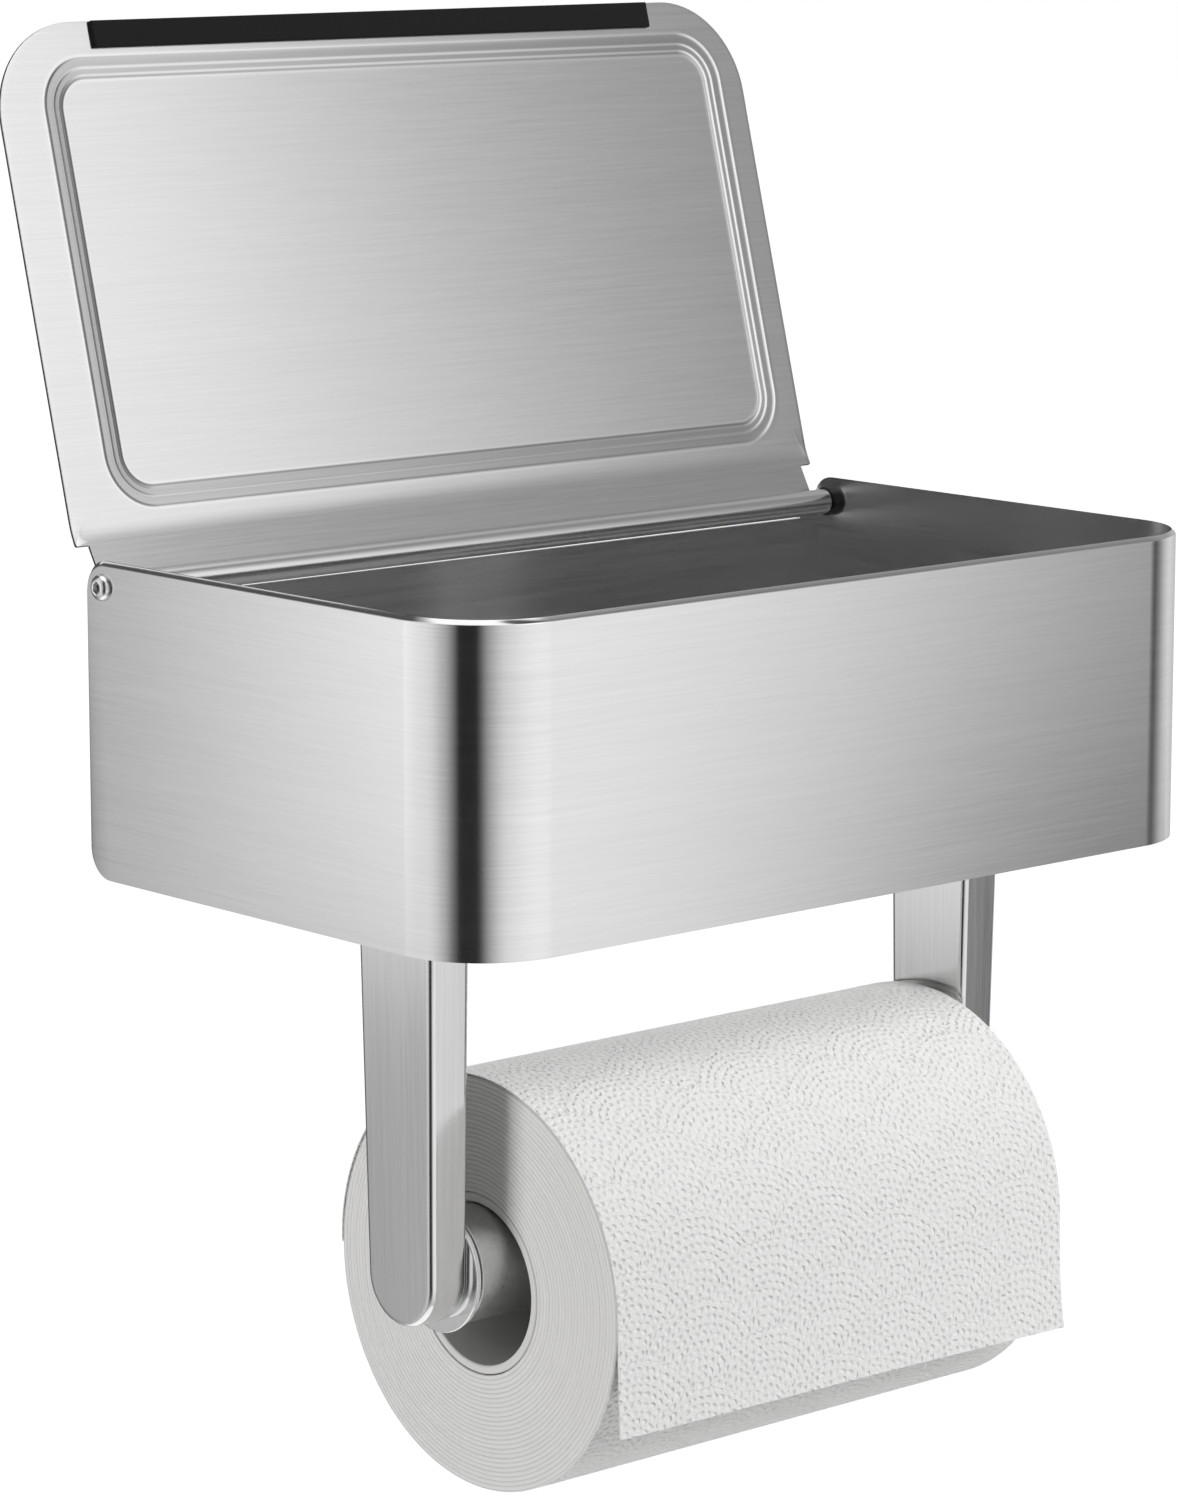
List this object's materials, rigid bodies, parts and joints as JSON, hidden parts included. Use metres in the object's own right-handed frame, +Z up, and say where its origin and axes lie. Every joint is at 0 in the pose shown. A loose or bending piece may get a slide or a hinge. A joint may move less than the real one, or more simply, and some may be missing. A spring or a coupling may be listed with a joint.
{
  "type": "toilet paper holder",
  "caption": "Wall-hung toilet paper holder: brushed steel storage box with hinged lid, two tapered arms and a sprung roller carrying a paper roll.",
  "frame": {"origin": "midway between the two wall-screw holes, on the wall plane at the back of the box", "axes": "+X to the right as seen from the front, +Y into the wall, +Z up; the front faces -Y"},
  "size_m": [0.2196, 0.161, 0.3105],
  "materials": {
    "brushed_sheet": "horizontal satin brushing",
    "brushed_arm": "vertical satin brushing",
    "polished_chrome": "polished",
    "satin_tube": "satin",
    "zinc_steel": "zinc plated",
    "black_nylon": "matte",
    "black_rubber": "matte",
    "tip_plastic": "smooth",
    "spring_steel": "drawn wire",
    "core_card": "matte",
    "tissue": "soft embossed"
  },
  "bodies": {
    "holder": {"shell_band": "brushed_sheet", "floor_back": "brushed_sheet", "arm_left": "brushed_arm", "arm_right": "brushed_arm", "arm_screws": "zinc_steel", "arm_screw_washers": "zinc_steel", "socket_left": "polished_chrome", "socket_right": "polished_chrome", "hinge_rod": "zinc_steel", "hinge_screws": "polished_chrome", "hinge_washers": "black_nylon"},
    "lid": {"lid": "brushed_sheet", "hinge_tube": "polished_chrome", "lid_bumper": "black_rubber"},
    "roller": {"roller_sleeve": "satin_tube", "roller_tip_fixed": "tip_plastic", "roller_spring": "spring_steel"},
    "plunger": {"plunger_tube": "satin_tube", "roller_tip_sprung": "tip_plastic", "spring_seat": "tip_plastic"},
    "roll": {"roll_core": "core_card", "roll_paper": "tissue"},
    "tail": {"loose_sheet": "tissue"}
  },
  "joints": [
    {"name": "lid_hinge", "type": "hinge", "parent": "holder", "child": "lid", "pos_m": [0, -0.0054, 0.02895], "axis": [1, 0, 0], "range_deg": [0, 105]},
    {"name": "roller_spin", "type": "hinge", "parent": "holder", "child": "roller", "pos_m": [0, -0.073, -0.11325], "axis": [1, 0, 0], "continuous": true},
    {"name": "tip_push", "type": "slide", "parent": "roller", "child": "plunger", "axis": [-1, 0, 0], "range_m": [0, 0.006], "stiffness_N_per_m": 700, "springref_m": -0.01, "deforming": ["roller_spring"]},
    {"name": "roll_spin", "type": "hinge", "parent": "holder", "child": "roll", "pos_m": [0, -0.073, -0.11835], "axis": [1, 0, 0], "continuous": true},
    {"name": "tail_feed", "type": "hinge", "parent": "roll", "child": "tail", "pos_m": [0, -0.073, -0.11835], "axis": [1, 0, 0], "continuous": true}
  ],
  "couplings": [
    {"joint": "tail_feed", "follows": "roll_spin", "ratio": -1}
  ]
}
